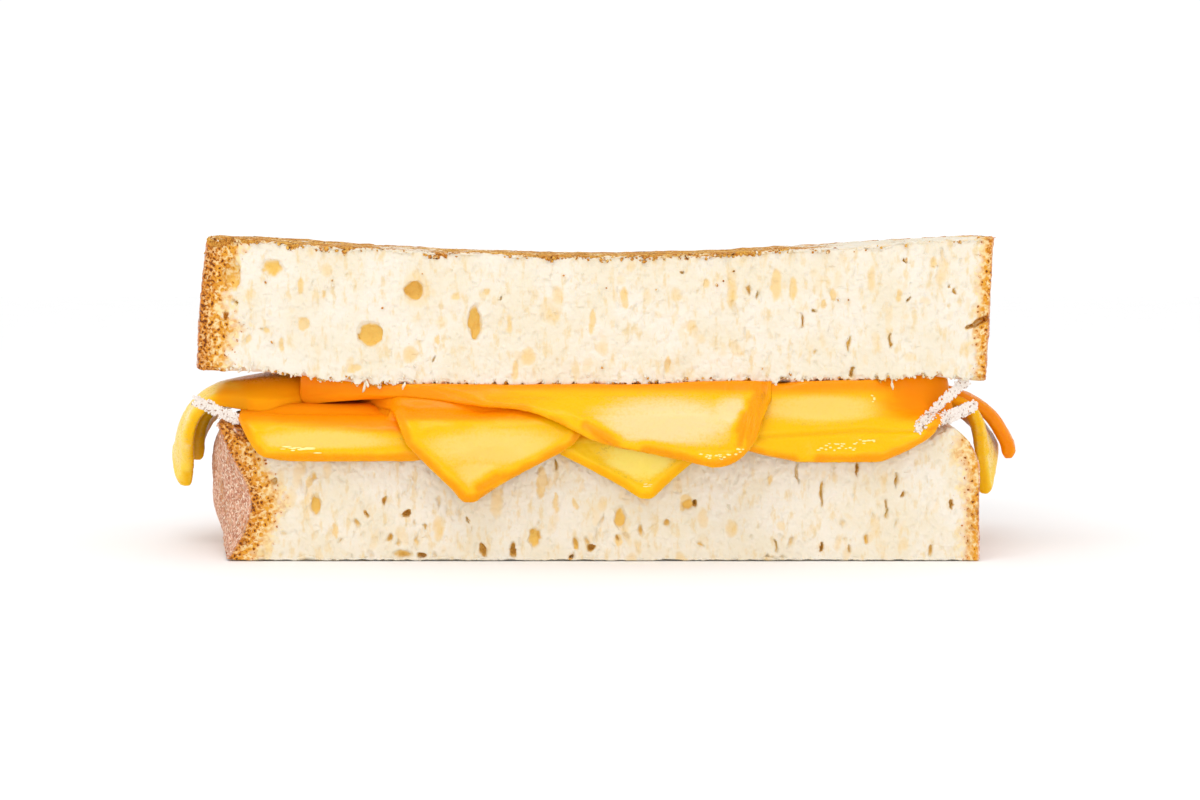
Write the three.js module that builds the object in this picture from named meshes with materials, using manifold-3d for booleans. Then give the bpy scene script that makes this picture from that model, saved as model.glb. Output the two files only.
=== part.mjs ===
// The cut half of a grilled cheese sandwich: two thick slices of white bread and the
// melted cheese slices between them. Millimetres, +Z up, cut face towards -Y, +X to the right.
import * as THREE from 'three';
import { mergeVertices } from 'three/addons/utils/BufferGeometryUtils.js';
import Module from 'manifold-3d';

const wasm = await Module();
wasm.setup();

// Both slices of bread
const sliceDepth = 60;              // from the cut face to the back crust
const backCornerRadius = 14;
const cutFaceRoughness = 0.25;
const frontEdgeRadius = 2;          // the cheese bends over this edge
const frontEdgeDrop = 1.6;          // how much lower the cut edge is than the crumb behind it
const edgeDropEnds = [56, 50];      // the drop fades out towards the crust ends
const endEdgeRadius = 4;            // and over this one, at the crust ends
const endEdgeStart = 0.72;          // share of the height at which the end starts to round over
const breadSegments = [31, 7, 8];   // along the width, up the thickness, back from the cut
const bubbleFacets = [10, 7];       // round and down an open gas hole

// Lower slice, lying on its grilled face
const lowerHeight = 20.3;
const lowerHalfWidthLeft = 58.8;
const lowerHalfWidthRight = 58.2;
const lowerFootInset = 4;           // the left crust tucks in at the foot
const lowerFootHeight = 5;
const cutCornerX = 55;              // where the cut face ends on the left, top and bottom
const cutCornerHollow = 4.2;        // and how far the crust shows in front at half height
const cutCornerHeight = 19;
const cutCornerDepth = 12;
const curlAcross = [44, 56];        // the crust ends curl up between here and here
const curlAtCut = 0.3;
const curlBehindCut = 0.5;
const curlRiseDepth = [1, 10];

// Upper slice, sagging in the middle
const upperHalfWidthLeft = 60.3;
const upperHalfWidthRight = 59;
const upperLeanLeft = 1.8;
const upperLeanRight = 1;
const upperUndersideMiddle = 26.5;
const upperUndersideRise = 0.4;     // behind the cut face the underside is a little higher
const upperRiseDepth = [0, 6];
const upperUndersideLeft = 2.2;     // it rises by this much between two places on each side
const upperLeftRiseX = [-30, -54];
const upperUndersideRight = 0.5;
const upperRightRiseX = [5, 20];
const upperArchX = 49;              // a shallow arch in the underside near the right end
const upperArchRise = 1.2;
const upperArchWidth = 5;
const upperTopMiddle = 46.4;
const upperTopRise = 3;
const upperTopPower = 1.8;
const upperTopHalfSpan = 60;
const undersideUnevenness = 0.15;
const topUnevenness = 0.2;

// Cheese slices
const squeezedThickness = 1.5;      // between the slices of bread
const hangingThickness = 2;         // where a corner hangs free
const thicknessBlend = [-1, 5];     // from in under the bread to past its edge
const layerGap = 0.36;
const restGap = 0.4;
const fillGap = 0.45;               // under the upper slice, where the cheese fills up to it
const leftFill = { x: [-54, -47], y: [6, 11] };    // the filling fades in over these stretches
const rightFill = { x: [57, 50], y: [20, 27] };
const topFillDepth = [0.3, 4.5];    // behind the top slice's own front edge
const sideFillDepth = [3.5, 7.5];   // behind the right square's front edge
const sideFillBack = [17, 12];      // it ends behind these depths
const sideFillClear = [1.3, 3.6];   // and clear of the slices that lie on it
const stickAcross = [0, -50];       // on the left the top slice sticks to the upper slice of
const stickDepth = [14, 6];         // bread right from its front edge
const loosenedBy = [2, 8];          // how far past an edge a loose end stands off fully
const rimWidth = 0.6;               // the rounded rim of a slice
const rimWidthShare = 0.25;         // at most this share of a slice's narrow end
const cornerSoftness = 2.2;         // the rounding of its melted corners
const cornerSamples = 7;
const layReach = 2.5;               // how far a slice bridges off the one under it
const layFall = 9;
const layBlend = 6;                 // power of the soft maximum where two slices carry a third

const clamp01 = (value) => Math.min(1, Math.max(0, value));
const lerp = (a, b, share) => a + (b - a) * share;

function smoothstep(start, end, value) {
  const share = clamp01((value - start) / (end - start));
  return share * share * (3 - 2 * share);
}

// A slow unevenness between -1 and 1.
function waver(a, b, seed) {
  const slow = Math.sin(a * 0.31 + seed * 1.7) + Math.sin(b * 0.43 + seed * 2.9);
  return (slow + Math.sin(a * 0.83 + b * 0.67 + seed * 4.1)) / 3;
}

// ---- Bread ----

function curl(x, y) {
  const rise = curlBehindCut * smoothstep(...curlRiseDepth, y);
  return smoothstep(...curlAcross, Math.abs(x)) * (curlAtCut + rise);
}

// The lower slice's crumb face, on which the cheese lies.
function lowerTop(x, y) {
  return lowerHeight + curl(x, y);
}

function upperUnderside(x, y) {
  const left = upperUndersideLeft * smoothstep(...upperLeftRiseX, x);
  const right = upperUndersideRight * smoothstep(...upperRightRiseX, x);
  const arch = upperArchRise * Math.exp(-(((x - upperArchX) / upperArchWidth) ** 2));
  const behind = upperUndersideRise * smoothstep(...upperRiseDepth, y);
  return upperUndersideMiddle + behind + left + right + arch;
}

function upperTop(x) {
  return upperTopMiddle + upperTopRise * (Math.abs(x) / upperTopHalfSpan) ** upperTopPower;
}

// How far the rounded back corners take the sides in at a depth.
function backCornerInset(y) {
  const intoCorner = Math.max(0, y - (sliceDepth - backCornerRadius));
  return backCornerRadius - Math.sqrt(Math.max(0, backCornerRadius ** 2 - intoCorner ** 2));
}

// Depths of the rows: one close behind the cut face, then closing up towards the back crust.
function rowDepth(row, rows) {
  if (row === 0) return 0;
  const share = (row - 1) / (rows - 1);
  return lerp(frontEdgeRadius, sliceDepth, Math.sin(share * Math.PI / 2));
}

// A closed block whose points are carried to the slice's own shape.
function breadBlock(place) {
  const [across, up, rows] = breadSegments;
  const block = new THREE.BoxGeometry(2, rows, 1, across, rows, up).translate(0, rows / 2, 0.5);
  block.deleteAttribute('normal');
  block.deleteAttribute('uv');
  const position = block.getAttribute('position');
  for (let i = 0; i < position.count; i += 1) {
    const depth = rowDepth(Math.round(position.getY(i)), rows);
    const point = place(position.getX(i), depth, position.getZ(i));
    position.setXYZ(i, point.x, point.y, point.z);
  }
  return mergeVertices(block);
}

// The cut face is rough, never standing out past its plane.
function withRoughCut(x, y, z) {
  const cut = y === 0 ? cutFaceRoughness * (1 + waver(x, z, 2)) : 0;
  return new THREE.Vector3(x, y + cut, z);
}

function lowerPoint(across, y, level) {
  const edgeShare = clamp01((level - endEdgeStart) / (1 - endEdgeStart)) ** 2;
  const height = level * lowerHeight;
  const foot = lowerFootInset * clamp01(1 - height / lowerFootHeight) ** 2;
  const hollow = cutCornerHollow * Math.sin(Math.PI * clamp01(height / cutCornerHeight));
  const behindCorner = smoothstep(0, cutCornerDepth, y);
  const leftCut = cutCornerX - hollow;
  const leftSide = lowerHalfWidthLeft - foot - endEdgeRadius * edgeShare;
  const left = lerp(leftCut, leftSide, behindCorner) - backCornerInset(y);
  const right = lowerHalfWidthRight - endEdgeRadius * edgeShare - backCornerInset(y);
  const x = across < 0 ? across * left : across * right;
  const onEdge = y === 0 || y === sliceDepth;
  const drop = onEdge ? frontEdgeDrop * smoothstep(...edgeDropEnds, Math.abs(x)) : 0;
  return withRoughCut(x, y, level * (lowerTop(x, y) - drop));
}

function upperPoint(across, y, level) {
  const left = upperHalfWidthLeft - upperLeanLeft * level ** 2 - backCornerInset(y);
  const right = upperHalfWidthRight + upperLeanRight * level - backCornerInset(y);
  const x = across < 0 ? across * left : across * right;
  const bottom = upperUnderside(x, y) + undersideUnevenness * waver(x, y, 5);
  const top = upperTop(x) + topUnevenness * waver(x, y, 7);
  return withRoughCut(x, y, lerp(bottom, top, level));
}

function toSolid(geometry) {
  const vertProperties = Float32Array.from(geometry.getAttribute('position').array);
  const triVerts = Uint32Array.from(geometry.getIndex().array);
  return new wasm.Manifold(new wasm.Mesh({ numProp: 3, vertProperties, triVerts }));
}

function toGeometry(solid) {
  const mesh = solid.getMesh();
  const geometry = new THREE.BufferGeometry();
  geometry.setAttribute('position', new THREE.BufferAttribute(mesh.vertProperties, 3));
  geometry.setIndex(new THREE.BufferAttribute(mesh.triVerts, 1));
  return geometry;
}

// Large gas holes, cut open by the knife: place on the cut face, half width, half height, depth.
function openHoles(block, holes) {
  let solid = toSolid(block);
  for (const { x, z, halfWidth, halfHeight, depth } of holes) {
    const bubble = new THREE.SphereGeometry(1, ...bubbleFacets);
    bubble.deleteAttribute('normal');
    bubble.deleteAttribute('uv');
    bubble.scale(halfWidth, depth, halfHeight).translate(x, 0, z);
    solid = solid.subtract(toSolid(mergeVertices(bubble)));
  }
  return toGeometry(solid);
}

const upperHoles = [
  { x: -54.7, z: 43.3, halfWidth: 1.5, halfHeight: 2.8, depth: 1.5 },
  { x: -48.7, z: 44.4, halfWidth: 1.9, halfHeight: 1.7, depth: 1.2 },
  { x: -34.0, z: 34.3, halfWidth: 2.1, halfHeight: 2.3, depth: 2.0 },
  { x: -27.4, z: 41.0, halfWidth: 1.6, halfHeight: 1.6, depth: 2.2 },
  { x: -18.3, z: 36.2, halfWidth: 1.1, halfHeight: 3.1, depth: 1.8 },
];
const lowerHoles = [
  { x: -42.4, z: 8.5, halfWidth: 0.9, halfHeight: 2.1, depth: 1.4 },
  { x: -9.3, z: 3.4, halfWidth: 1.0, halfHeight: 2.1, depth: 1.4 },
  { x: 3.6, z: 6.5, halfWidth: 1.0, halfHeight: 2.1, depth: 1.4 },
  { x: 14.1, z: 8.7, halfWidth: 1.1, halfHeight: 0.9, depth: 1.2 },
];

// ---- Cheese ----
// Each slice is drawn flat, as it was cut, in the plane of the sandwich: x across, y from the
// cut face inwards, and what lies past an edge of the bread is what hangs over that edge.
// A slice with ends set hangs over the crust ends, any other over the cut face and the back.
// fills is how far, from 0 to 1, it fills the room up to the upper slice of bread.

const hangs = {
  front: (x, y) => frontEdgeRadius - y,
  back: (x, y) => y - (sliceDepth - frontEdgeRadius),
  left: (x) => -x - (lowerHalfWidthLeft - endEdgeRadius),
  right: (x) => x - (lowerHalfWidthRight - endEdgeRadius),
};

// Angle and straight drop of what hangs past an edge by a length, measured on the bread.
function fold(length, radius) {
  const arc = radius * Math.PI / 2;
  return { angle: Math.min(length, arc) / radius, drop: Math.max(0, length - arc) };
}

// The place in the sandwich of a flat point lifted off the bread by a height.
function drape(x, y, lift, ends) {
  if (ends) {
    const side = x < 0 ? -1 : 1;
    const length = side < 0 ? hangs.left(x) : hangs.right(x);
    if (length <= 0) return new THREE.Vector3(x, y, lowerTop(x, y) + lift);
    const start = (side < 0 ? lowerHalfWidthLeft : lowerHalfWidthRight) - endEdgeRadius;
    const { angle, drop } = fold(length, endEdgeRadius);
    const out = (endEdgeRadius + lift) * Math.sin(angle);
    const z = lowerTop(start, y) - endEdgeRadius + (endEdgeRadius + lift) * Math.cos(angle) - drop;
    return new THREE.Vector3(side * (start + out), y, z);
  }
  const front = y < sliceDepth / 2;
  const length = front ? hangs.front(x, y) : hangs.back(x, y);
  if (length <= 0) return new THREE.Vector3(x, y, lowerTop(x, y) + lift);
  const start = front ? frontEdgeRadius : sliceDepth - frontEdgeRadius;
  const { angle, drop } = fold(length, frontEdgeRadius);
  const out = (frontEdgeRadius + lift) * Math.sin(angle);
  const rise = (frontEdgeRadius + lift) * Math.cos(angle) - frontEdgeRadius - drop;
  return new THREE.Vector3(x, front ? start - out : start + out, lowerTop(x, start) + rise);
}

// Thin where the bread squeezes it, full where it hangs.
function thicknessAt(x, y) {
  const past = Math.max(...Object.values(hangs).map((hang) => hang(x, y)));
  return lerp(squeezedThickness, hangingThickness, smoothstep(...thicknessBlend, past));
}

// Distance outside a convex outline, negative inside.
function outside(corners, x, y) {
  let furthest = -Infinity;
  corners.forEach(([ax, ay], i) => {
    const [bx, by] = corners[(i + 1) % corners.length];
    const length = Math.hypot(bx - ax, by - ay);
    furthest = Math.max(furthest, ((by - ay) * (x - ax) - (bx - ax) * (y - ay)) / length);
  });
  return furthest;
}

// How high a slice is lifted off the bread by the slices that it lies on.
function liftOver(lies, x, y) {
  let carried = 0;
  for (const slice of lies) {
    const past = outside(slice.corners, x, y);
    const share = 1 - smoothstep(layReach, layReach + layFall, past);
    if (share > 0) {
      const height = liftOver(slice.lies, x, y) - restGap + thicknessAt(x, y) + layerGap;
      carried += (share * height) ** layBlend;
    }
  }
  return restGap + carried ** (1 / layBlend);
}

// The two ends of the line across a convex outline at one station along it.
function span(corners, station, along) {
  const hits = [];
  corners.forEach((a, i) => {
    const b = corners[(i + 1) % corners.length];
    const [low, high] = a[along] < b[along] ? [a, b] : [b, a];
    if (low[along] === high[along] || station < low[along] || station > high[along]) return;
    const share = (station - low[along]) / (high[along] - low[along]);
    hits.push(lerp(low[1 - along], high[1 - along], share));
  });
  return [Math.min(...hits), Math.max(...hits)];
}

// The same with its corners melted round, by averaging over a short stretch.
function softSpan(corners, station, along, limits) {
  let low = 0;
  let high = 0;
  for (let i = 0; i < cornerSamples; i += 1) {
    const shift = lerp(-cornerSoftness, cornerSoftness, i / (cornerSamples - 1));
    const [a, b] = span(corners, Math.min(limits[1], Math.max(limits[0], station + shift)), along);
    low += a / cornerSamples;
    high += b / cornerSamples;
  }
  return [low, high];
}

// The stretches of a flat slice that bend over an edge of the bread, along x and along y.
const quarterTurn = Math.PI / 2;
const leftBend = lowerHalfWidthLeft - endEdgeRadius;
const rightBend = lowerHalfWidthRight - endEdgeRadius;
const bends = {
  x: [
    [-leftBend - endEdgeRadius * quarterTurn, -leftBend],
    [rightBend, rightBend + endEdgeRadius * quarterTurn],
  ],
  y: [
    [frontEdgeRadius - frontEdgeRadius * quarterTurn, frontEdgeRadius],
    [sliceDepth - frontEdgeRadius, sliceDepth - frontEdgeRadius + frontEdgeRadius * quarterTurn],
  ],
};
const bendSteps = { x: 1.1, y: 0.65 };
const restingStep = 6.5;
const hangingStep = 2;
const shortestStretch = 0.3;

// Stations along a slice: close together where it bends, wide apart where it lies flat.
function stations(start, end, axis, closeRows, widest) {
  const [first, second] = bends[axis];
  const close = [[...first, bendSteps[axis]], [...second, bendSteps[axis]], ...closeRows];
  const [earliest, latest] = [start + shortestStretch, end - shortestStretch];
  const edges = close.flatMap(([low, high]) => [low, high]);
  const inside = edges.filter((value) => value > earliest && value < latest);
  const breaks = [start, ...inside.sort((a, b) => a - b), end];
  const result = [start];
  for (let i = 1; i < breaks.length; i += 1) {
    const [from, to] = [breaks[i - 1], breaks[i]];
    const centre = (from + to) / 2;
    const resting = centre > first[1] && centre < second[0];
    const within = close.find(([low, high]) => centre > low && centre < high);
    const wide = resting ? widest : hangingStep;
    const count = Math.ceil((to - from) / (within ? within[2] : wide));
    for (let k = 1; k <= count; k += 1) result.push(lerp(from, to, k / count));
  }
  return result;
}

function cheeseGeometry(slice) {
  const { corners, lies, fills, loose, ends = false, columns = 9 } = slice;
  const { rowsAcross = ends, closeRows = [], step = restingStep, bendColumns = 0 } = slice;
  const along = rowsAcross ? 0 : 1;
  const axis = rowsAcross ? 'x' : 'y';
  const values = corners.map((corner) => corner[along]);
  const limits = [Math.min(...values), Math.max(...values)];
  const rows = stations(limits[0] + rimWidth, limits[1] - rimWidth, axis, closeRows, step);
  const points = [];
  const grid = { top: [], bottom: [] };
  const rim = [];
  const flat = (station, cross) => (rowsAcross ? [station, cross] : [cross, station]);
  const place = (low, high, column) => {
    if (!bendColumns) return lerp(low, high, column / columns);
    const flatStart = Math.max(frontEdgeRadius, low + frontEdgeRadius);
    if (column <= bendColumns) return lerp(low, flatStart, column / bendColumns);
    return lerp(flatStart, high, (column - bendColumns) / (columns - bendColumns));
  };

  const addPoint = (station, cross, height) => {
    const [x, y] = flat(station, cross);
    const thickness = thicknessAt(x, y);
    const past = Math.max(hangs.left(x), hangs.right(x));
    let below = liftOver(lies, x, y);
    if (loose) below += loose(y) * smoothstep(...loosenedBy, past);
    let above = below + thickness;
    if (fills) above = lerp(above, upperUnderside(x, y) - fillGap - lowerTop(x, y), fills(x, y));
    points.push(drape(x, y, lerp(below, above, height), ends));
    return points.length - 1;
  };

  rows.forEach((station, row) => {
    const [low, high] = softSpan(corners, station, along, limits);
    const inset = Math.min(rimWidth, (high - low) * rimWidthShare);
    grid.top.push([]);
    grid.bottom.push([]);
    for (let column = 0; column <= columns; column += 1) {
      const cross = place(low + inset, high - inset, column);
      grid.top[row].push(addPoint(station, cross, 1));
      grid.bottom[row].push(addPoint(station, cross, 0));
    }
    rim.push({ low, high, inset });
  });

  // Boundary of the grid in order, with the rim point outside each of its points.
  const lastRow = rows.length - 1;
  const loop = [];
  const walk = (row, column, stationShift, side) => {
    const { low, high, inset } = rim[row];
    let cross = place(low + inset, high - inset, column);
    if (side < 0) cross = low;
    if (side > 0) cross = high;
    const outer = addPoint(rows[row] + stationShift, cross, 0.5);
    loop.push({ top: grid.top[row][column], bottom: grid.bottom[row][column], outer });
  };
  for (let column = 1; column < columns; column += 1) walk(0, column, -rimWidth, 0);
  for (let row = 0; row <= lastRow; row += 1) walk(row, columns, 0, 1);
  for (let column = columns - 1; column > 0; column -= 1) walk(lastRow, column, rimWidth, 0);
  for (let row = lastRow; row >= 0; row -= 1) walk(row, 0, 0, -1);

  const faces = [];
  const quad = (a, b, c, d) => faces.push(a, b, c, a, c, d);
  for (let row = 0; row < lastRow; row += 1) {
    for (let column = 0; column < columns; column += 1) {
      const corner = (side, r, c) => grid[side][row + r][column + c];
      quad(corner('top', 0, 0), corner('top', 0, 1), corner('top', 1, 1), corner('top', 1, 0));
      quad(corner('bottom', 1, 0), corner('bottom', 1, 1), corner('bottom', 0, 1), corner('bottom', 0, 0));
    }
  }
  loop.forEach((here, i) => {
    const next = loop[(i + 1) % loop.length];
    quad(here.outer, next.outer, next.top, here.top);
    quad(here.bottom, next.bottom, next.outer, here.outer);
  });
  if (rowsAcross) faces.reverse();

  const coordinates = points.flatMap((point) => point.toArray());
  const geometry = new THREE.BufferGeometry();
  geometry.setAttribute('position', new THREE.Float32BufferAttribute(coordinates, 3));
  geometry.setIndex(faces);
  return geometry;
}

// Corners of each slice, drawn flat, going round anticlockwise seen from above, and the
// slices that it lies on.
const middleCorner = {
  name: 'cheese_middle_corner',
  color: 0xffb61e,
  corners: [[7.8, -9.9], [23, 3], [23, 44], [9, 63.5], [-8, 50], [-10, -0.5]],
  lies: [],
  columns: 7,
};
const leftSquare = {
  name: 'cheese_left_square',
  color: 0xffbe28,
  corners: [[-49.8, -4.2], [-24.5, -4.2], [-25, 54], [-45, 54], [-48, 50], [-55.6, 2.6]],
  lies: [],
  columns: 8,
};
const rightSquare = {
  name: 'cheese_right_square',
  color: 0xffae14,
  corners: [[20, -3.9], [41, -4.3], [53, -0.2], [56, 8], [40, 32], [30, 50], [21, 50]],
  lies: [middleCorner],
  fills: (x, y) => {
    const behindEdge = y - span(rightSquare.corners, x, 0)[0];
    return [topSlice, rightInner, rightOuter].reduce((share, slice) => {
      return share * smoothstep(...sideFillClear, outside(slice.corners, x, y));
    }, smoothstep(...sideFillDepth, behindEdge) * smoothstep(...sideFillBack, y));
  },
  closeRows: [[2, 17, 2.5]],
  columns: 14,
};
const frontCorner = {
  name: 'cheese_front_corner',
  color: 0xffc43c,
  corners: [[-19.4, -10.2], [2, 1.5], [0, 56], [-16, 67], [-36, 52], [-37, 7]],
  lies: [leftSquare, middleCorner],
  columns: 10,
};
const leftInner = {
  name: 'cheese_left_inner',
  color: 0xffc85a,
  corners: [[-65, 24], [-52, 13], [-47, 16], [-47, 46], [-52, 44]],
  lies: [leftSquare],
  loose: (y) => lerp(0.6, 3.6, smoothstep(13, 30, y)),
  ends: true,
};
const leftOuter = {
  name: 'cheese_left_outer',
  color: 0xffa80f,
  corners: [[-68.8, 20], [-54, 5.5], [-46.4, 4.5], [-41.2, 44], [-51, 48]],
  lies: [leftSquare, leftInner],
  loose: (y) => lerp(0.4, 5, smoothstep(6, 30, y)),
  fills: (x, y) => smoothstep(...leftFill.x, x) * smoothstep(...leftFill.y, y),
  ends: true,
};
const rightInner = {
  name: 'cheese_right_inner',
  color: 0xffc85a,
  corners: [[69.5, 21], [53, 44], [49, 44], [49, 16], [53, 11]],
  lies: [rightSquare],
  loose: (y) => lerp(0.2, 4.8, smoothstep(11, 32, y)),
  ends: true,
};
const rightOuter = {
  name: 'cheese_right_outer',
  color: 0xff9c0a,
  corners: [[64.3, 25], [53, 46], [48, 43], [48, 26], [52, 20]],
  lies: [rightSquare, rightInner],
  loose: (y) => lerp(3.8, 5.6, smoothstep(20, 34, y)),
  fills: (x, y) => smoothstep(...rightFill.x, x) * smoothstep(...rightFill.y, y),
  ends: true,
};
const topSlice = {
  name: 'cheese_top_slice',
  color: 0xffba3a,
  corners: [
    [-45.6, 2.8], [-30, 1.4], [-9, 0.2], [6.6, -2.4], [19.4, -5.2], [47, 20], [45, 53], [-39, 53],
  ],
  lies: [leftSquare, middleCorner, rightSquare, frontCorner],
  fills: (x, y) => {
    const behindEdge = y - span(topSlice.corners, x, 0)[0];
    const sticks = smoothstep(...stickAcross, x) * smoothstep(...stickDepth, y);
    return Math.max(smoothstep(...topFillDepth, behindEdge), sticks);
  },
  rowsAcross: true,
  closeRows: [[16, 28, 1.1]],
  step: 4.6,
  columns: 18,
  bendColumns: 9,
};
const cheeseSlices = [
  middleCorner, leftSquare, rightSquare, frontCorner,
  leftInner, leftOuter, rightInner, rightOuter, topSlice,
];
const breadFinish = { color: 0xf6e3bd, roughness: 0.9, metalness: 0 };
const cheeseFinish = { roughness: 0.35, metalness: 0 };

const sandwich = new THREE.Group();

function add(name, geometry, finish) {
  geometry.computeVertexNormals();
  const mesh = new THREE.Mesh(geometry, new THREE.MeshStandardMaterial(finish));
  mesh.name = name;
  sandwich.add(mesh);
}

add('bread_bottom', openHoles(breadBlock(lowerPoint), lowerHoles), breadFinish);
add('bread_top', openHoles(breadBlock(upperPoint), upperHoles), breadFinish);
for (const slice of cheeseSlices) {
  add(slice.name, cheeseGeometry(slice), { ...cheeseFinish, color: slice.color });
}

// The origin is under the middle of the sandwich.
const middle = new THREE.Box3().setFromObject(sandwich).getCenter(new THREE.Vector3());
sandwich.position.set(-middle.x, -middle.y, 0);

export default sandwich;
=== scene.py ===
import itertools
import math

import bpy
import numpy as np
from mathutils import Euler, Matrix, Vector
from mathutils.bvhtree import BVHTree
from mathutils.kdtree import KDTree


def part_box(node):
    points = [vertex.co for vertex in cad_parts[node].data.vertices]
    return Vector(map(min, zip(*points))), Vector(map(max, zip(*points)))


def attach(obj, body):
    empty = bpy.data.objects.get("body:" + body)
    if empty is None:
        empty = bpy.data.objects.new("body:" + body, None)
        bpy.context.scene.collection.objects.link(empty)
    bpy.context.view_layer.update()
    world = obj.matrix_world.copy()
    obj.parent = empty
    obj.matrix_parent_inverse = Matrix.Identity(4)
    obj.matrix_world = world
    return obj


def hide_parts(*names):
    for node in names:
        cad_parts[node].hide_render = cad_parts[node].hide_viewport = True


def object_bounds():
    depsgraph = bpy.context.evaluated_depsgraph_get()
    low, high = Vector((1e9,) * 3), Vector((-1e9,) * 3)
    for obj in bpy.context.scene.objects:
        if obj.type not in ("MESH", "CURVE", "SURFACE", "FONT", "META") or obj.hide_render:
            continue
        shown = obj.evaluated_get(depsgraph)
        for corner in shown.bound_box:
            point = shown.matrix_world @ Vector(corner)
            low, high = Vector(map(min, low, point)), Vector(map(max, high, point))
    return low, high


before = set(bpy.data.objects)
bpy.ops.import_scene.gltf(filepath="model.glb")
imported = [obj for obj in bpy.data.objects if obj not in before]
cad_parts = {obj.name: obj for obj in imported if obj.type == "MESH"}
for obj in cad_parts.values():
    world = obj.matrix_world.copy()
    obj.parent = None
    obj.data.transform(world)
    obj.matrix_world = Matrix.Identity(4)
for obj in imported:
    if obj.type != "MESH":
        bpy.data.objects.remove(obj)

cad_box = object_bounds()
MM = 0.001

# ---- The lower slice of bread ----
# Thick white tin-loaf bread, half a slice. Its lower face was fried in butter, the knife that
# halved the sandwich laid the crumb open, and the baked crust still runs round its ends and back.

lower_box = [np.array(corner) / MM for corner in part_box("bread_bottom")]
CUT_FACE = lower_box[0][1]  # the plane of the cut, in millimetres
OFF_CENTRE = 0.3  # how far right of the slice's middle the middle of the sandwich lies
MIDDLE = (lower_box[0][0] + lower_box[1][0]) / 2 + OFF_CENTRE  # places across count from here
SHARP_EDGE = math.radians(50)  # edges sharper than this aren't rounded
VOXEL = 0.2  # mesh size before the crumb is carved
BREAD_TRIANGLES = 190_000  # what thinning leaves of a slice
KEPT_CUT_FACE = 4e-6  # how strongly thinning spares the cut face
MAP_STEP = 0.1  # step of the map of gas cells over a face
LATTICE = 48  # lumps of a random field before it repeats
HOLE_REACH = 6.0  # no open gas hole goes further back than this
FACE_BAND = 4.5  # how far a face strays from its level


def ease(start, end, value):
    """0 before start, 1 after end, smooth between them."""
    share = np.clip((value - start) / (end - start), 0, 1)
    return share * share * (3 - 2 * share)


def unevenness(points, grain, seed):
    """A smooth random field between -1 and 1, its lumps about one grain apart."""
    lattice = np.random.default_rng(seed).uniform(-1, 1, (LATTICE,) * 3)
    cell = points / grain
    corner = np.floor(cell).astype(int)
    share = cell - corner
    share = share * share * (3 - 2 * share)
    total = np.zeros(len(points))
    for step in itertools.product((0, 1), repeat=3):
        index = (corner + step) % LATTICE
        weight = np.prod(np.where(step, share, 1 - share), axis=1)
        total += weight * lattice[index[:, 0], index[:, 1], index[:, 2]]
    return total


def copy_of(node, name):
    """A free copy of a solid as one closed mesh, selected and active."""
    bpy.ops.object.select_all(action="DESELECT")
    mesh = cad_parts[node].data.copy()
    mesh.name = name
    mesh.materials.clear()
    piece = bpy.data.objects.new(name, mesh)
    bpy.context.scene.collection.objects.link(piece)
    bpy.context.view_layer.objects.active = piece
    piece.select_set(True)
    bpy.ops.object.mode_set(mode="EDIT")
    bpy.ops.mesh.select_all(action="SELECT")
    bpy.ops.mesh.remove_doubles(threshold=0.001 * MM)
    bpy.ops.mesh.tris_convert_to_quads(face_threshold=math.radians(40), shape_threshold=math.radians(60))
    bpy.ops.mesh.select_all(action="DESELECT")
    bpy.ops.object.mode_set(mode="OBJECT")
    return piece


def apply_modifier(piece, kind, **settings):
    """Adds a modifier and applies it."""
    modifier = piece.modifiers.new(kind.lower(), kind)
    for name, value in settings.items():
        setattr(modifier, name, value)
    bpy.context.view_layer.objects.active = piece
    bpy.ops.object.modifier_apply(modifier=modifier.name)


def points_of(piece):
    """The piece's points in millimetres."""
    points = np.empty(len(piece.data.vertices) * 3, np.float32)
    piece.data.vertices.foreach_get("co", points)
    return points.reshape(-1, 3).astype(float) / MM


def normals_of(piece):
    """The direction that the piece faces at each of its points."""
    normals = np.empty(len(piece.data.vertices) * 3, np.float32)
    piece.data.vertices.foreach_get("normal", normals)
    return normals.reshape(-1, 3).astype(float)


def put_points(piece, points):
    """Moves the piece's points, never past the box of the solids."""
    low, high = (np.array(corner) for corner in cad_box)
    kept = np.clip(points * MM, low, high)
    piece.data.vertices.foreach_set("co", kept.astype(np.float32).ravel())
    piece.data.update()


def put_values(piece, name, values):
    """Gives each point a value that a finish can read by this name."""
    attribute = piece.data.attributes.new(name, "FLOAT", "POINT")
    attribute.data.foreach_set("value", np.asarray(values, np.float32))


def tree_of(mesh, faces=None):
    """A mesh in millimetres, or some of its faces, as a tree that can be searched."""
    faces = mesh.polygons if faces is None else faces
    return BVHTree.FromPolygons([vertex.co / MM for vertex in mesh.vertices],
                                [tuple(face.vertices) for face in faces])


def wall_of(piece, chosen):
    """The piece's faces chosen by their middle and normal, as a tree."""
    faces = [face for face in piece.data.polygons if chosen(face.center / MM, face.normal)]
    return tree_of(piece.data, faces)


def distance_to(wall, points):
    """How far each point is from a wall."""
    return np.array([wall.find_nearest(point)[3] for point in points])


def gas_cells(rng, low, high, count, sizes, crowding, stretch, depth):
    """Random cells of a crumb: place, half width, half height, lean and depth of each.

    sizes are the smallest and largest half width, and crowding above 1 makes more of them small.
    stretch and depth say, from and to, how high and how deep a cell is for its half width.
    """
    place = rng.uniform(low, high, (count, 2))
    width = sizes[0] * (sizes[1] / sizes[0]) ** (rng.random(count) ** crowding)
    height = width * rng.uniform(*stretch, count)
    lean = rng.normal(0, 0.22, count)
    deep = width * rng.uniform(*depth, count)
    return np.column_stack([place, width, height, lean, deep])


def placed(cells):
    """Cells listed from the middle of the cut face, as gas_cells gives them."""
    cells = np.array(cells, float)
    cells[:, 0] += MIDDLE
    return cells


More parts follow.
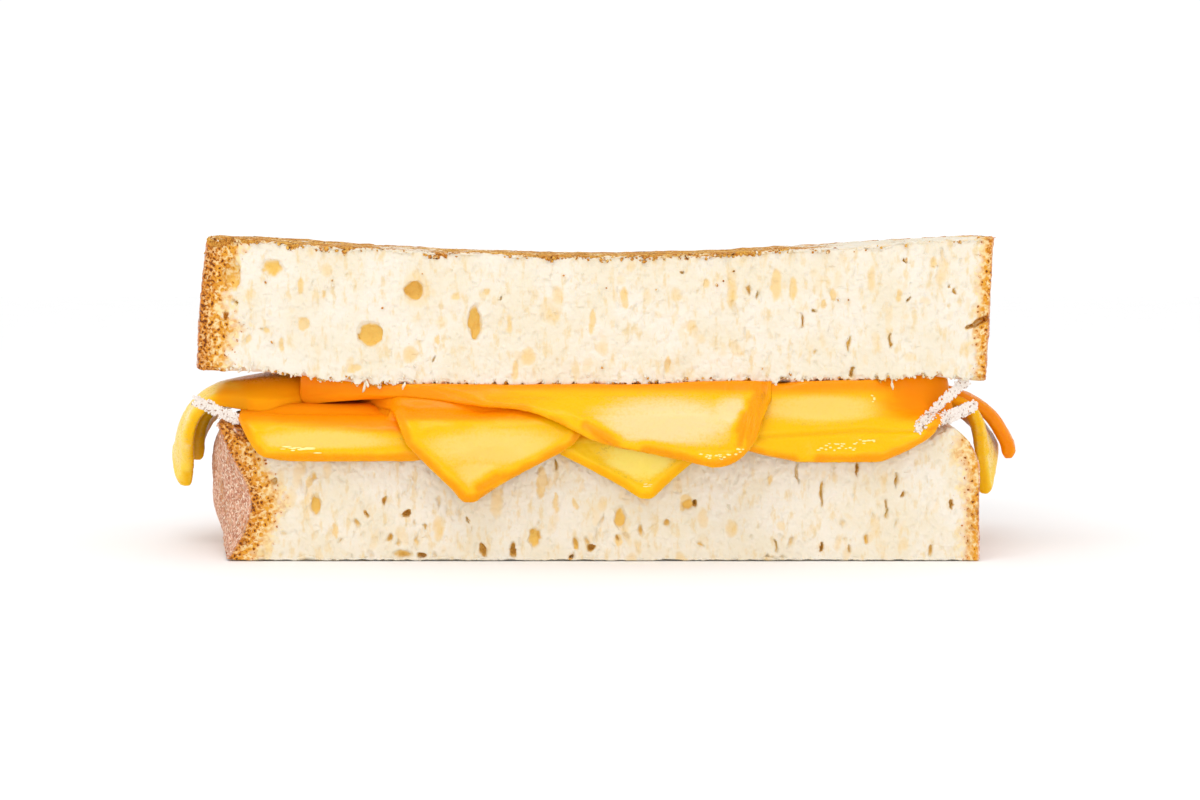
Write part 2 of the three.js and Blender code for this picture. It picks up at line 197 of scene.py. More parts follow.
def map_of(cells, low, high):
    """How deep the cells are over a face, on a regular grid."""
    size = np.ceil((high - low) / MAP_STEP).astype(int) + 1
    depth = np.zeros(size)
    for across, up, width, height, lean, deep in cells:
        middle = np.array([across, up])
        reach = max(width, height)
        first = np.maximum(np.floor((middle - reach - low) / MAP_STEP).astype(int), 0)
        last = np.minimum(np.ceil((middle + reach - low) / MAP_STEP).astype(int) + 1, size)
        if np.any(last <= first):
            continue
        right = low[0] + MAP_STEP * np.arange(first[0], last[0])[:, None] - across
        above = low[1] + MAP_STEP * np.arange(first[1], last[1])[None, :] - up
        side = (right * math.cos(lean) + above * math.sin(lean)) / width
        along = (above * math.cos(lean) - right * math.sin(lean)) / height
        bowl = 0.85 * deep * np.clip(1 - side**2 - along**2, 0, 1) ** 0.4
        window = depth[first[0]:last[0], first[1]:last[1]]
        np.maximum(window, bowl, out=window)
    return depth


def read_map(depth, low, place):
    """The depth at each place, between the points of the grid."""
    cell = np.clip((place - low) / MAP_STEP, 0, np.array(depth.shape) - 1.001)
    corner = cell.astype(int)
    right, above = (cell - corner).T
    column, row = corner.T
    lower = depth[column, row] * (1 - right) + depth[column + 1, row] * right
    upper = depth[column, row + 1] * (1 - right) + depth[column + 1, row + 1] * right
    return lower * (1 - above) + upper * above


def warped(points, seed):
    """The points a little off their places, so that round cells come out torn and uneven."""
    place = points.copy()
    place[:, 1] = 0
    for axis in (0, 2):
        place[:, axis] += 0.22 * unevenness(points, 0.7, seed + axis)
        place[:, axis] += 0.3 * unevenness(points, 2.4, seed + 5 + axis)
    return place[:, [0, 2]]


def soften(piece):
    """Rounds a solid between its sharp edges."""
    bpy.ops.object.mode_set(mode="EDIT")
    bpy.ops.mesh.select_mode(type="EDGE")
    bpy.ops.mesh.edges_select_sharp(sharpness=SHARP_EDGE)
    bpy.ops.transform.edge_crease(value=1)
    bpy.ops.mesh.select_all(action="DESELECT")
    bpy.ops.object.mode_set(mode="OBJECT")
    apply_modifier(piece, "SUBSURF", levels=2, render_levels=2)


def slice_of_bread(node, name, outer_sign, crust_from, cells, hollows, bands, browning,
                   toasting, seed, squeezed_out=0.0):
    """One slice: softened solid, carved crumb, torn edges, browned crust and fried outer face.

    outer_sign is 1 when the fried face is the upper one and -1 when it is the lower one. The ends
    past crust_from are crust. The pairs bands and browning say how wide and how strong the crust's
    browning is on the left and on the right, and toasting gives how deep the frying shows.
    """
    piece = copy_of(node, name)
    soften(piece)
    low_corner, high_corner = (np.array(corner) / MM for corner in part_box(node))
    outer_z = high_corner[2] if outer_sign > 0 else low_corner[2]
    inner_z = low_corner[2] if outer_sign > 0 else high_corner[2]
    crust = wall_of(piece, lambda middle, normal: abs(normal.z) < 0.6 and normal.y > -0.8 and (
        abs(middle.x) > crust_from or middle.y > CUT_FACE + HOLE_REACH))
    fried = wall_of(piece, lambda middle, normal: normal.z * outer_sign > 0.7 and (
        abs(middle.z - outer_z) < FACE_BAND))
    inner = wall_of(piece, lambda middle, normal: normal.z * outer_sign < -0.7 and (
        abs(middle.z - inner_z) < FACE_BAND))
    apply_modifier(piece, "REMESH", mode="VOXEL", voxel_size=VOXEL * MM)

    # maps of the cells over the cut face, and of the pits over the fried face
    points = points_of(piece)
    low, high = points[:, [0, 2]].min(0) - 1, points[:, [0, 2]].max(0) + 1
    rng = np.random.default_rng(seed)
    depths = map_of(cells(rng, low, high), low, high)
    tints = map_of(hollows(rng, low, high), low, high)
    flat_low, flat_high = points[:, :2].min(0) - 1, points[:, :2].max(0) + 1
    frying = np.random.default_rng(seed + 1)
    pits = map_of(np.concatenate([
        gas_cells(frying, flat_low, flat_high, 5200, (0.3, 0.9), 2.4, (0.8, 1.3), (0.3, 0.6)),
        gas_cells(frying, flat_low, flat_high, 240, (0.8, 1.7), 1.6, (0.7, 1.4), (0.25, 0.5)),
    ]), flat_low, flat_high)

    # how far each point belongs to the cut face, to the fried face and to the crust's skin
    behind = points[:, 1] - CUT_FACE
    from_crust, from_fried = distance_to(crust, points), distance_to(fried, points)
    normals = normals_of(piece)
    place = warped(points, seed)
    on_cut = (1 - ease(1.6, 3.4, behind)) * ease(0.1, 0.6, from_crust)
    on_cut *= ease(0.15, 0.5, from_fried)
    on_fried = ease(0.5, 0.9, normals[:, 2] * outer_sign) * (1 - ease(0.2, 0.8, from_fried))
    on_skin = 1 - ease(0.1, 0.6, from_crust)

    # the crumb is carved, the fried face pitted and the skin dented and wrinkled
    torn = 0.12 * unevenness(points, 3.2, seed + 2) + 0.1 * unevenness(points, 1.1, seed + 3)
    roughness = np.maximum(0.22 + torn + 0.07 * unevenness(points, 0.45, seed + 4), 0)
    lumps = 0.3 * unevenness(points, 4.5, seed + 6) + 0.16 * unevenness(points, 1.2, seed + 7)
    wrinkles = 0.12 * np.abs(unevenness(points, (1.0, 1.0, 0.6), seed + 12))
    carved = read_map(depths, low, place) + 0.6 * read_map(tints, low, place) + roughness
    moved = points.copy()
    moved[:, 1] += on_cut * carved
    sunk = read_map(pits, flat_low, points[:, :2]) + np.maximum(0.2 + 0.5 * lumps, 0)
    moved[:, 2] -= outer_sign * on_fried * sunk
    dented = on_skin * (1 - on_fried) * np.maximum(0.15 + 0.4 * lumps + wrinkles, 0)
    moved -= normals * dented[:, None]

    # the open face is pulled about, its inner edge torn and its fried edge crumbled
    torn = 0.55 * unevenness(points, (0.6, 1.0, 9.0), seed + 8)
    torn += 0.3 * unevenness(points, (1.5, 3.0, 9.0), seed + 11)
    from_inner = distance_to(inner, points)
    open_face = (1 - ease(2.5, 4.5, behind)) * ease(0.8, 2.0, np.minimum(from_crust, from_inner))
    for axis in (0, 2):
        shift = 0.3 * unevenness(points, 1.0, seed + 20 + axis)
        moved[:, axis] += open_face * ease(0.8, 2.0, from_fried) * shift
    edge = (1 - ease(0.5, 2.4, behind)) * (1 - ease(0.2, 1.2, from_inner))
    moved[:, 2] += outer_sign * edge * np.maximum(0.25 - torn, -0.15)
    crumbly = unevenness(points, (0.5, 0.8, 9.0), seed + 13)
    crumbly += unevenness(points, (1.4, 2.0, 9.0), seed + 14)
    scorched = (1 - ease(0.6, 3.0, behind)) * (1 - ease(0.1, 0.7, from_fried))
    scorched *= 1.0 if outer_sign > 0 else 0.3
    moved[:, 2] -= outer_sign * scorched * np.maximum(0.25 + 0.3 * crumbly, 0)
    put_points(piece, moved)

    # the flat outer parts are thinned first, the carved cut face last
    spread = piece.vertex_groups.new(name="thinned_first")
    spread.add(np.flatnonzero(behind > 3.0).tolist(), 1.0, "REPLACE")
    apply_modifier(piece, "DECIMATE", ratio=BREAD_TRIANGLES / (2 * len(piece.data.polygons)),
                   use_collapse_triangulate=True, vertex_group=spread.name,
                   vertex_group_factor=KEPT_CUT_FACE)
    piece.vertex_groups.clear()

    # what the finish reads: open cells with painted shade in them, thin skins, browning, the crust's skin
    # and frying
    points = points_of(piece)
    behind = points[:, 1] - CUT_FACE
    from_crust, from_fried = distance_to(crust, points), distance_to(fried, points)
    from_inner = distance_to(inner, points)
    place = warped(points, seed)
    crumb = (1 - ease(3.2, 4.5, behind)) * ease(0.1, 0.5, from_crust)
    patchy = 0.35 * unevenness(points, 2.2, seed + 9) + 0.3 * unevenness(points, 0.7, seed + 10)
    band = np.where(points[:, 0] < 0, *bands)
    strength = np.where(points[:, 0] < 0, *browning)
    browned = np.clip(from_crust / (band * (1 + patchy)), 0, 1)
    depth = toasting(points[:, 0]) * (1 + 1.6 * patchy)
    # painted shade: crumb carved deeper than the cut face is tinted tan
    hole = ease(0.8, 1.3, behind) * crumb * ease(0.3, 0.9, np.minimum(from_inner, from_fried))
    thin_skin = crumb * np.clip(read_map(tints, low, place) / 0.4, 0, 0.6)
    # how deep each cell is carved; the finish paints shade there, darker the deeper it goes
    put_values(piece, "pore", crumb * np.clip(read_map(depths, low, place) / 1.2, 0, 1))
    put_values(piece, "skin_tint_and_hole_shade", np.maximum(hole, thin_skin))
    put_values(piece, "crust", strength * (1 - browned))
    put_values(piece, "skin", 1 - ease(0.12, 0.45, from_crust))
    put_values(piece, "toast", 1 - ease(0.4, 1.3, from_fried / np.maximum(depth, 0.05)))

    # a load on the slice squeezes its left end out, least at the foot
    left_end = ease(45, 55, MIDDLE - points[:, 0]) * (1 - ease(22, 45, behind))
    points[:, 0] -= squeezed_out * left_end * (0.5 + 0.5 * ease(0, 9, points[:, 2]))
    points[:, 2] += 0.3 * squeezed_out * left_end * ease(14, 20, points[:, 2])
    put_points(piece, points)
    bpy.ops.object.shade_smooth()
    return piece


def shader_node(tree, kind, inputs=None, **settings):
    """A material node; an input given as another node's output is linked to it."""
    new = tree.nodes.new("ShaderNode" + kind)
    for name, value in settings.items():
        setattr(new, name, value)
    for name, value in (inputs or {}).items():
        if isinstance(value, bpy.types.NodeSocket):
            tree.links.new(value, new.inputs[name])
        else:
            new.inputs[name].default_value = value
    return new


def noise(tree, scale, detail=3.0, roughness=0.55, stretch=(1, 1, 1)):
    """Noise on the object's own coordinates; scale is in lumps to the metre."""
    place = shader_node(tree, "TexCoord").outputs["Object"]
    mapped = shader_node(tree, "Mapping", {"Vector": place, "Scale": stretch}).outputs["Vector"]
    settings = {"Vector": mapped, "Scale": scale, "Detail": detail, "Roughness": roughness}
    return shader_node(tree, "TexNoise", settings).outputs["Fac"]


def value_of(tree, name):
    """A value that put_values gave to the points."""
    return shader_node(tree, "Attribute", attribute_name=name).outputs["Fac"]


def between(tree, value, low, high, bottom=0.0, top=1.0):
    """value carried smoothly from low..high to bottom..top."""
    settings = {"Value": value, "From Min": low, "From Max": high, "To Min": bottom, "To Max": top}
    return shader_node(tree, "MapRange", settings, interpolation_type="SMOOTHSTEP").outputs["Result"]


def mixed(tree, share, first, second):
    """A share of the second colour mixed into the first."""
    # a mix of colours has its share, first and second colour at these inputs, and its result here
    share_input, first_input, second_input, result = 0, 6, 7, 2
    mix = shader_node(tree, "Mix", data_type="RGBA", blend_type="MIX")
    for socket, value in ((share_input, share), (first_input, first), (second_input, second)):
        if isinstance(value, bpy.types.NodeSocket):
            tree.links.new(value, mix.inputs[socket])
        else:
            mix.inputs[socket].default_value = value if socket == share_input else (*value, 1)
    return mix.outputs[result]


def combined(tree, operation, first, second):
    """Two values added, multiplied or otherwise worked into one."""
    result = shader_node(tree, "Math", operation=operation)
    for socket, value in enumerate((first, second)):
        if isinstance(value, bpy.types.NodeSocket):
            tree.links.new(value, result.inputs[socket])
        else:
            result.inputs[socket].default_value = value
    return result.outputs["Value"]


def stirred(tree, value, grain, amount):
    """A value made uneven by a noise, as much up as down."""
    swing = combined(tree, "MULTIPLY", combined(tree, "SUBTRACT", grain, 0.5), amount)
    return combined(tree, "ADD", value, swing)


def new_material(name, constants):
    """A material, its tree and its surface, with the surface's constant inputs set."""
    material = bpy.data.materials.new(name)
    material.use_nodes = True
    surface = material.node_tree.nodes["Principled BSDF"]
    for socket, value in constants.items():
        surface.inputs[socket].default_value = value
    return material, material.node_tree, surface


def add_bumps(tree, surface, height, strength, distance):
    """Small bumps on the surface, as high as distance."""
    bumps = shader_node(tree, "Bump", {"Height": height, "Strength": strength, "Distance": distance})
    tree.links.new(bumps.outputs["Normal"], surface.inputs["Normal"])


# the colours of the bread: crumb, its open cells with tan skins and painted shade, browned crust, the
# crust's skin, fried face
CREAM_CRUMB = (0.74, 0.66, 0.515)
WHITE_CRUMB = (0.77, 0.705, 0.60)
STRAW_STRANDS = (0.72, 0.56, 0.32)
TAN_SKINS_AND_HOLE_SHADE = (0.77, 0.49, 0.12)
SHADE_IN_DEEP_CELLS = (0.58, 0.30, 0.06)
LIGHT_BROWNING = (0.68, 0.31, 0.03)
FULL_BROWNING = (0.55, 0.18, 0.01)
CELL_WALLS = (0.80, 0.63, 0.33)
BROWN_PITS = (0.52, 0.17, 0.015)
DARK_PITS = (0.15, 0.04, 0.008)
PINKISH_SKIN = (0.69, 0.37, 0.25)
BROWN_SKIN = (0.42, 0.16, 0.09)
SKIN_FLECKS = (0.86, 0.68, 0.52)
GOLDEN_FRIED = (0.72, 0.41, 0.08)
BROWN_FRIED = (0.55, 0.23, 0.03)
PALE_FRIED = (0.80, 0.62, 0.34)
DARK_FRIED = (0.42, 0.14, 0.015)
BURNT_SPECKS = (0.13, 0.04, 0.008)
BREAD_VALUES = ("pore", "skin_tint_and_hole_shade", "crust", "skin", "toast")


def bread_finish():
    """White crumb, tan skins and painted shade in its open cells, browning to the crust, golden where it
    was fried.
    """
    material, tree, surface = new_material("toasted_white_bread", {
        "Roughness": 0.85, "Specular IOR Level": 0.2, "Subsurface Weight": 0.15,
        "Subsurface Radius": (1.0, 0.7, 0.45), "Subsurface Scale": 0.35 * MM})
    pore, skin_tint_and_hole_shade, crust, skin, toast = (value_of(tree, name) for name in BREAD_VALUES)
    slow = noise(tree, 160)
    fine = noise(tree, 1500, 5)
    specks = noise(tree, 2600, 2)
    strands = noise(tree, 900, 3, 0.6, (1, 1, 0.4))
    crumb = mixed(tree, between(tree, slow, 0.35, 0.65), CREAM_CRUMB, WHITE_CRUMB)
    crumb = mixed(tree, between(tree, strands, 0.5, 0.72, 0.0, 0.85), crumb, STRAW_STRANDS)
    # tan of the thin skins, and painted shade in the holes behind the cut face
    crumb = mixed(tree, skin_tint_and_hole_shade, crumb, TAN_SKINS_AND_HOLE_SHADE)
    # painted shade: darker brown the deeper a cell is carved
    painted_cell_shade = combined(tree, "MULTIPLY", between(tree, pore, 0.25, 0.9), between(tree, fine, 0.3, 0.55))
    crumb = mixed(tree, painted_cell_shade, crumb, SHADE_IN_DEEP_CELLS)
    # the crust's browning, dark in its cells and light on the walls between them
    place = shader_node(tree, "TexCoord").outputs["Object"]
    cells = shader_node(tree, "TexVoronoi", {"Vector": place, "Scale": 1350.0}).outputs["Distance"]
    tint = mixed(tree, between(tree, crust, 0.1, 0.5), crumb, LIGHT_BROWNING)
    tint = mixed(tree, between(tree, crust, 0.5, 1.0), tint, FULL_BROWNING)
    walls = combined(tree, "MULTIPLY", between(tree, cells, 0.42, 0.6), between(tree, fine, 0.35, 0.6))
    walls = combined(tree, "MULTIPLY", walls, between(tree, crust, 1.0, 0.5, 0.5, 0.95))
    tint = mixed(tree, walls, tint, CELL_WALLS)
    pits = combined(tree, "ADD", between(tree, cells, 0.45, 0.1, -0.3, 0.3),
                    between(tree, specks, 0.4, 0.62, -0.35, 0.35))
    pits = combined(tree, "ADD", pits, crust)
    tint = mixed(tree, between(tree, pits, 0.42, 0.7), tint, BROWN_PITS)
    tint = mixed(tree, between(tree, pits, 0.68, 0.95), tint, DARK_PITS)
    body = mixed(tree, between(tree, crust, 0.02, 0.2), crumb, tint)
    # the outer skin of the crust
    grain = noise(tree, 1200, 3, 0.6)
    leather = mixed(tree, between(tree, grain, 0.4, 0.6), PINKISH_SKIN, BROWN_SKIN)
    leather = mixed(tree, between(tree, specks, 0.53, 0.6), leather, SKIN_FLECKS)
    body = mixed(tree, skin, body, leather)
    # the face that was fried
    blotches = noise(tree, 110, 4, 0.6)
    islands = noise(tree, 420, 3)
    toasted = mixed(tree, between(tree, blotches, 0.38, 0.62), GOLDEN_FRIED, BROWN_FRIED)
    toasted = mixed(tree, between(tree, islands, 0.54, 0.64), toasted, PALE_FRIED)
    toasted = mixed(tree, between(tree, specks, 0.46, 0.62), toasted, DARK_FRIED)
    toasted = mixed(tree, between(tree, fine, 0.56, 0.68), toasted, BURNT_SPECKS)
    body = mixed(tree, between(tree, stirred(tree, toast, specks, 1.6), 0.35, 0.65), body, toasted)
    tree.links.new(body, surface.inputs["Base Color"])
    height = combined(tree, "ADD", fine, combined(tree, "MULTIPLY", specks, 0.5))
    add_bumps(tree, surface, height, 0.45, 0.25 * MM)
    return material


bread_material = bread_finish()

# across, height, half width, half height, lean and depth of the cells that stand out
LOWER_CELLS = (
    (-32.0, 9.3, 0.35, 0.5, 0, 1.4), (-28.7, 7.2, 0.5, 0.65, 0.3, 2.4), (-48.3, 12.0, 0.3, 0.7, 0.2, 1.6),
    (-34.8, 7.3, 0.3, 0.45, 0, 1.4), (-26.3, 0.8, 0.6, 0.5, 0, 2.0), (-29.3, 1.0, 1.6, 0.6, 0, 1.0),
    (-17.2, 1.7, 0.45, 0.9, 0.3, 2.0), (-12.6, 1.7, 0.5, 0.95, 0, 2.0), (-3.8, 0.5, 0.4, 0.4, 0, 2.2),
    (-0.6, 1.9, 0.6, 0.5, 0, 2.2), (-6.3, 14.6, 0.16, 0.8, 0.1, 1.6), (-19.5, 6.3, 0.16, 0.6, 0.6, 1.4),
    (14.8, 8.7, 0.25, 0.45, 0, 2.0), (34.2, 10.3, 0.22, 2.0, 0, 1.4), (39.5, 14.0, 0.28, 1.3, 0.1, 1.5),
    (30.7, 13.0, 0.22, 1.9, 0.05, 1.0), (43.9, 8.2, 0.2, 1.6, 0, 1.2), (45.4, 12.4, 0.26, 0.9, -0.1, 1.3),
    (53.7, 8.8, 0.26, 0.9, -0.15, 1.8), (46.3, 10.0, 0.2, 0.5, 0, 1.4), (34.1, 2.3, 0.24, 1.0, 0, 1.8),
    (27.1, 2.3, 0.2, 1.1, 0.3, 1.2), (-21.5, 12.4, 0.2, 0.5, 0.4, 1.2), (8.5, 12.8, 0.25, 0.5, 0, 1.2),
)
LOWER_HOLLOWS = (
    (-8.3, 12.0, 0.75, 2.5, 0, 0.6), (-6.0, 8.9, 0.4, 1.7, 0, 0.6), (-3.1, 8.9, 0.4, 1.1, 0.2, 0.5),
    (13.5, 8.9, 0.85, 1.2, 0, 0.7), (-39.5, 4.6, 0.5, 1.2, 0.1, 0.5), (-48.4, 8.9, 0.5, 0.9, 0.1, 0.8),
    (-43.2, 12.0, 0.35, 0.9, 0, 0.6), (3.4, 3.2, 0.7, 1.0, 0, 0.5), (26.3, 12.5, 0.35, 0.9, 0, 0.5),
    (-24.0, 5.0, 0.9, 2.0, 0, 0.3), (-15.0, 9.0, 1.0, 2.6, 0, 0.25), (20.5, 5.0, 0.9, 1.6, 0, 0.25),
)


def lower_cells(rng, low, high):
    """Small cells drawn upright by the rise of the dough, more and deeper near the fried face."""
    bottom = np.array([high[0], low[1] + 7])
    return np.concatenate([
        placed(LOWER_CELLS),
        gas_cells(rng, low, high, 4200, (0.14, 0.36), 2.0, (1.0, 2.4), (0.5, 0.9)),
        gas_cells(rng, low, high, 90, (0.2, 0.4), 2.0, (1.8, 4.5), (1.2, 2.2)),
        gas_cells(rng, low, bottom, 60, (0.25, 0.45), 2.0, (1.2, 2.6), (1.4, 2.4)),
    ])


def lower_hollows(rng, low, high):
    """Wider, shallow cells, closed by a thin tan skin."""
    return np.concatenate([
        placed(LOWER_HOLLOWS),
        gas_cells(rng, low, high, 110, (0.35, 0.9), 1.4, (1.2, 3.4), (0.12, 0.3)),
    ])


def lower_toasting(x):
    """How deep the browning shows at the cut: hardly at all."""
    return np.full(len(x), 0.05)


lower_bread = slice_of_bread(
    "bread_bottom", "lower_slice_of_bread", outer_sign=-1, crust_from=50.0, cells=lower_cells,
    hollows=lower_hollows, bands=(4.6, 4.0), browning=(0.95, 0.62), toasting=lower_toasting,
    seed=11, squeezed_out=2.5)
lower_bread.data.materials.append(bread_material)
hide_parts("bread_bottom")
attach(lower_bread, "root")

# ---- The upper slice of bread ----
# The loaf's next slice, fried on its upper face. It sags in the middle, where the cheese under
# it has run, and its cut edge is torn to crumbs where the knife left it.

UPPER_CELLS = (
    (-55.5, 37.4, 0.5, 0.55, 0, 1.6), (-54.2, 39.0, 0.16, 0.2, 0, 1.6), (-24.3, 30.4, 0.16, 0.4, -0.6, 1.4),
    (-14.3, 39.6, 0.14, 0.4, 0, 1.4), (23.0, 41.0, 0.24, 0.7, 0, 1.2), (24.1, 40.2, 0.22, 0.7, 0, 1.0),
    (31.0, 36.4, 0.3, 1.3, -0.1, 0.9), (47.1, 39.5, 0.45, 0.2, 0.3, 1.6), (53.0, 41.5, 0.18, 0.2, 0, 1.8),
    (54.0, 40.8, 0.26, 0.6, 0, 1.2), (46.6, 45.6, 0.2, 0.7, 0.2, 1.4), (44.4, 33.3, 0.2, 1.3, 0.1, 1.4),
    (37.9, 33.0, 0.2, 1.3, 0, 1.1), (38.4, 28.6, 0.3, 0.9, 0, 1.6), (33.0, 38.0, 0.16, 0.2, 0, 1.6),
    (12.8, 43.9, 0.4, 0.2, 0, 1.4), (57.3, 36.0, 0.4, 2.0, -1.15, 2.2), (58.4, 36.6, 0.5, 1.2, -1.2, 2.2),
)
UPPER_HOLLOWS = (
    (-27.0, 41.0, 2.3, 2.8, 0, 0.16), (-44.1, 36.0, 1.0, 1.2, 0, 0.5), (-49.6, 35.1, 0.4, 0.45, 0, 0.6),
    (-44.4, 41.6, 0.5, 1.4, 0, 0.5), (-41.1, 40.2, 0.3, 0.6, 0, 0.5), (-47.5, 33.0, 0.4, 1.0, 0, 0.5),
    (-52.3, 33.6, 0.4, 0.7, -0.3, 0.5), (-23.9, 33.6, 0.4, 0.9, 0, 0.4), (-21.3, 40.3, 0.7, 0.7, 0, 0.3),
    (-28.0, 31.4, 1.2, 1.3, 0, 0.3), (-36.4, 29.2, 1.1, 0.7, 0, 0.4), (-40.7, 44.0, 1.1, 1.3, 0, 0.2),
    (-16.5, 40.9, 0.6, 0.6, -0.5, 0.4), (-12.2, 28.9, 0.5, 1.5, 0, 0.6), (-10.4, 31.0, 1.2, 1.4, 0, 0.3),
    (-13.0, 35.9, 0.5, 1.5, 0, 0.3), (-0.7, 36.2, 0.5, 2.0, -0.1, 0.4), (4.3, 39.9, 0.6, 1.7, 0, 0.5),
    (10.8, 29.7, 0.5, 1.5, -0.1, 0.6), (14.2, 35.6, 0.8, 1.0, 0, 0.25), (16.4, 42.2, 0.5, 0.8, 0, 0.4),
    (20.4, 40.8, 0.9, 2.4, 0, 0.3), (27.0, 41.9, 0.9, 2.6, 0, 0.4), (29.6, 41.3, 0.7, 1.9, 0, 0.4),
    (41.4, 42.8, 0.7, 2.2, 0, 0.25), (35.9, 40.5, 0.5, 1.1, 0, 0.4), (50.7, 45.2, 0.6, 0.9, 0, 0.5),
    (-7.0, 37.9, 1.7, 2.2, 0, 0.14), (45.7, 40.2, 0.5, 1.0, 0, 0.4), (34.2, 39.0, 0.35, 0.8, 0, 0.5),
)
BROWN_CLUMPS = (-45.6, -40.3, -37.3, -23.5)  # where crumbs burnt along the cut edge


def upper_cells(rng, low, high):
    """Round cells on the left, more of them upright and narrow on the right."""
    middle = np.array([0.5 * (low[0] + high[0]), low[1]])
    return np.concatenate([
        placed(UPPER_CELLS),
        gas_cells(rng, low, high, 4200, (0.14, 0.36), 2.0, (0.8, 2.0), (0.5, 0.9)),
        gas_cells(rng, low, high, 30, (0.16, 0.3), 2.0, (0.8, 1.8), (1.4, 2.6)),
        gas_cells(rng, middle, high, 110, (0.16, 0.34), 2.0, (1.6, 4.0), (1.0, 1.8)),
    ])


def upper_hollows(rng, low, high):
    """Wider, shallow cells, upright ones on the right."""
    middle = np.array([0.5 * (low[0] + high[0]), low[1]])
    return np.concatenate([
        placed(UPPER_HOLLOWS),
        gas_cells(rng, low, high, 70, (0.4, 1.0), 1.4, (0.9, 1.8), (0.1, 0.25)),
        gas_cells(rng, middle, high, 60, (0.3, 0.7), 1.4, (1.6, 3.4), (0.1, 0.25)),
    ])


def upper_toasting(x):
    """How deep the browning shows at the cut: deep at the left end, fading out on the right."""
    x = x - MIDDLE
    depth = 0.25 + 1.2 * (1 - ease(-58, -44, x)) + 0.45 * ease(-18, -8, x) * (1 - ease(20, 34, x))
    depth -= 0.18 * ease(30, 45, x)
    for clump in BROWN_CLUMPS:
        depth += 0.7 * np.exp(-((x - clump) / 1.2) ** 2)
    return depth


upper_bread = slice_of_bread(
    "bread_top", "upper_slice_of_bread", outer_sign=1, crust_from=57.5, cells=upper_cells,
    hollows=upper_hollows, bands=(7.4, 3.4), browning=(1.0, 0.75), toasting=upper_toasting, seed=31)
upper_bread.data.materials.append(bread_material)
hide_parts("bread_top")
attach(upper_bread, "root")

# ---- The cheese slices ----
# Sliced cheese, melted in the pan. Each slice is one limp sheet with a thick rounded rim; its
# corners droop over the cut face and over the crust ends, and it shines with its own oil.

RIM_SAMPLE = 0.4  # how close together the rim is sampled
RIM_ANGLE = math.radians(54)  # an edge sharper than this belongs to the rim
SMOOTHING = 3  # how often the cheese is subdivided
SEAM_HEIGHT = 19.2  # of the seam across the right square
JUST_BEHIND = 1.2  # what lies above is looked for this far behind the cut
PRESSED_IN = 0.3  # how far a slice is pressed into what it sticks to


def rim_of(piece):
    """Points all along the sharp rim of a slice, as a tree."""
    mesh = piece.data
    sides_of = {}
    for face in mesh.polygons:
        for edge in face.edge_keys:
            sides_of.setdefault(edge, []).append(face.normal)
    samples = []
    for edge, sides in sides_of.items():
        if len(sides) == 2 and sides[0].angle(sides[1], 0) > RIM_ANGLE:
            start, end = (mesh.vertices[corner].co / MM for corner in edge)
            count = max(1, int((end - start).length / RIM_SAMPLE))
            samples += [start.lerp(end, step / count) for step in range(count + 1)]
    tree = KDTree(len(samples))
    for index, sample in enumerate(samples):
        tree.insert(sample, index)
    tree.balance()
    return tree


# what a slice may stick to: the bread above, before its edge was torn, and the cheese above
overhead = [tree_of(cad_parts["bread_top"].data)]


def ceiling_over(points):
    """Height of what lies over each point, looked up just behind the cut."""
    heights = np.full(len(points), np.inf)
    for index, (x, y, z) in enumerate(points):
        for tree in overhead:
            found = tree.ray_cast((x, max(y, CUT_FACE + JUST_BEHIND), z + 0.05), (0, 0, 1))[0]
            if found is not None:
                heights[index] = min(heights[index], found[2])
    return heights


def press_together(node_name, moved, across, behind, normals, over_end):
    """Moves the slices into each other where they have melted together."""
    if node_name == "cheese_left_outer":
        # its squeezed inner end bulges forward and down on to the square under it
        pressed = ease(-57, -50, across) * (1 - ease(12, 22, behind))
        moved[:, 1] -= 3.6 * pressed
        moved[:, 0] += 4.4 * ease(-53, -47.5, across) * (1 - ease(14, 24, behind))
        moved[:, 2] -= 1.3 * ease(-61, -55, across) * (1 - ease(8, 16, behind)) * (normals[:, 2] < 0)
    if node_name == "cheese_top_slice":
        # its left end thins out over the square and is laid back
        thin = (1 - ease(-45, -36, across)) * ease(0.0, 0.9, -normals[:, 2])
        moved[:, 2] += 0.6 * thin * (1 - ease(8, 14, behind))
        laid_back = 1 - ease(-46, -36, across)
        moved[:, 1] += 2.6 * laid_back * (1 - ease(8, 16, behind))
    if node_name == "cheese_left_inner":
        # it clings to the corner that hangs before it
        moved[:, 0] -= 1.1 * over_end * ease(24, 20, moved[:, 2])
    if node_name == "cheese_right_square":
        # its left end lies against the side of the top slice
        beside = (1 - ease(28, 32, across)) * ease(19.5, 22.5, moved[:, 2])
        moved[:, 0] -= 1.2 * beside * (1 - ease(2, 6, behind))
    if node_name == "cheese_left_square":
        # it swells up behind its rounded front, against the slice that lies on it
        swollen = ease(-52, -46, across) * (1 - ease(-35, -31, across)) * (normals[:, 2] > 0)
        moved[:, 2] += 1.4 * swollen * ease(1.6, 4.2, behind) * (1 - ease(12, 16, behind))


